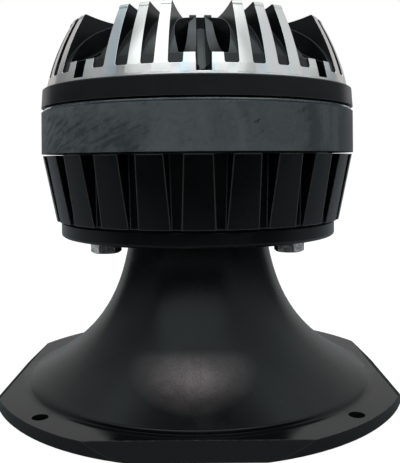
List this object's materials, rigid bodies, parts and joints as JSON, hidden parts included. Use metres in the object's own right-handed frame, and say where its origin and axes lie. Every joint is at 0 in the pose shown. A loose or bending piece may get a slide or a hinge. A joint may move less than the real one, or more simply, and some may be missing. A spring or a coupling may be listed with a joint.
{
  "type": "compression driver",
  "caption": "Horn-loaded compression driver: ring-magnet motor with a finned rear cover, bolted on a round flanged horn that stands mouth down.",
  "frame": {"origin": "centre of the face of the horn's mouth, on the surface that it stands on", "axes": "+Z along the driver's axis, from the mouth to the rear cover; the front of the object looks along -Y, with the terminal block at the back"},
  "size_m": [0.208, 0.208, 0.1951],
  "materials": {
    "horn_plastic": "satin black moulded plastic",
    "gasket_rubber": "matte black rubber",
    "black_casting": "satin black painted casting",
    "cover_casting": "satin black paint, outside turned bright",
    "plate_steel": "zinc plated steel",
    "bright_plate": "bright turned steel",
    "cap_copper": "drawn copper",
    "ferrite": "dark grey sintered ferrite",
    "plug_alloy": "cast aluminium",
    "diaphragm": "thin formed metal",
    "former": "amber film",
    "coil_wire": "lacquered flat wire",
    "surround_film": "thin formed film",
    "ring_alloy": "machined aluminium",
    "pad_foam": "grey felt",
    "terminal_plastic": "black moulded plastic",
    "zinc_bolt": "zinc plated steel",
    "zinc_screw": "zinc plated steel",
    "black_screw": "black oxide steel",
    "tab_brass": "tin plated brass"
  },
  "bodies": {
    "driver": {"back_plate": "plate_steel", "cover_gasket": "gasket_rubber", "cover_screw_1": "black_screw", "cover_screw_2": "black_screw", "cover_screw_3": "black_screw", "cover_screw_4": "black_screw", "cover_screw_5": "black_screw", "cover_screw_6": "black_screw", "cover_screw_7": "black_screw", "cover_screw_8": "black_screw", "damping_pad": "pad_foam", "diaphragm_ring": "ring_alloy", "horn": "horn_plastic", "housing_screw_1": "black_screw", "housing_screw_2": "black_screw", "housing_screw_3": "black_screw", "housing_screw_4": "black_screw", "magnet": "ferrite", "mounting_bolt_1": "zinc_bolt", "mounting_bolt_2": "zinc_bolt", "mounting_bolt_3": "zinc_bolt", "mounting_bolt_4": "zinc_bolt", "phase_plug": "plug_alloy", "rear_cover": "cover_casting", "ring_screw_1": "zinc_screw", "ring_screw_2": "zinc_screw", "ring_screw_3": "zinc_screw", "ring_screw_4": "zinc_screw", "shorting_cap": "cap_copper", "surround": "surround_film", "terminal_block": "terminal_plastic", "terminal_screw_1": "zinc_screw", "terminal_screw_2": "zinc_screw", "terminal_tab_1": "tab_brass", "terminal_tab_2": "tab_brass", "throat_gasket": "gasket_rubber", "throat_housing": "black_casting", "top_plate": "bright_plate"},
    "diaphragm": {"diaphragm_dome": "diaphragm", "coil_former": "former", "voice_coil": "coil_wire"}
  },
  "joints": [
    {"name": "diaphragm_travel", "type": "slide", "parent": "driver", "child": "diaphragm", "axis": [0, 0, 1], "range_m": [-0.0005, 0.0005], "stiffness_N_per_m": 8000, "deforming": ["surround"]}
  ]
}
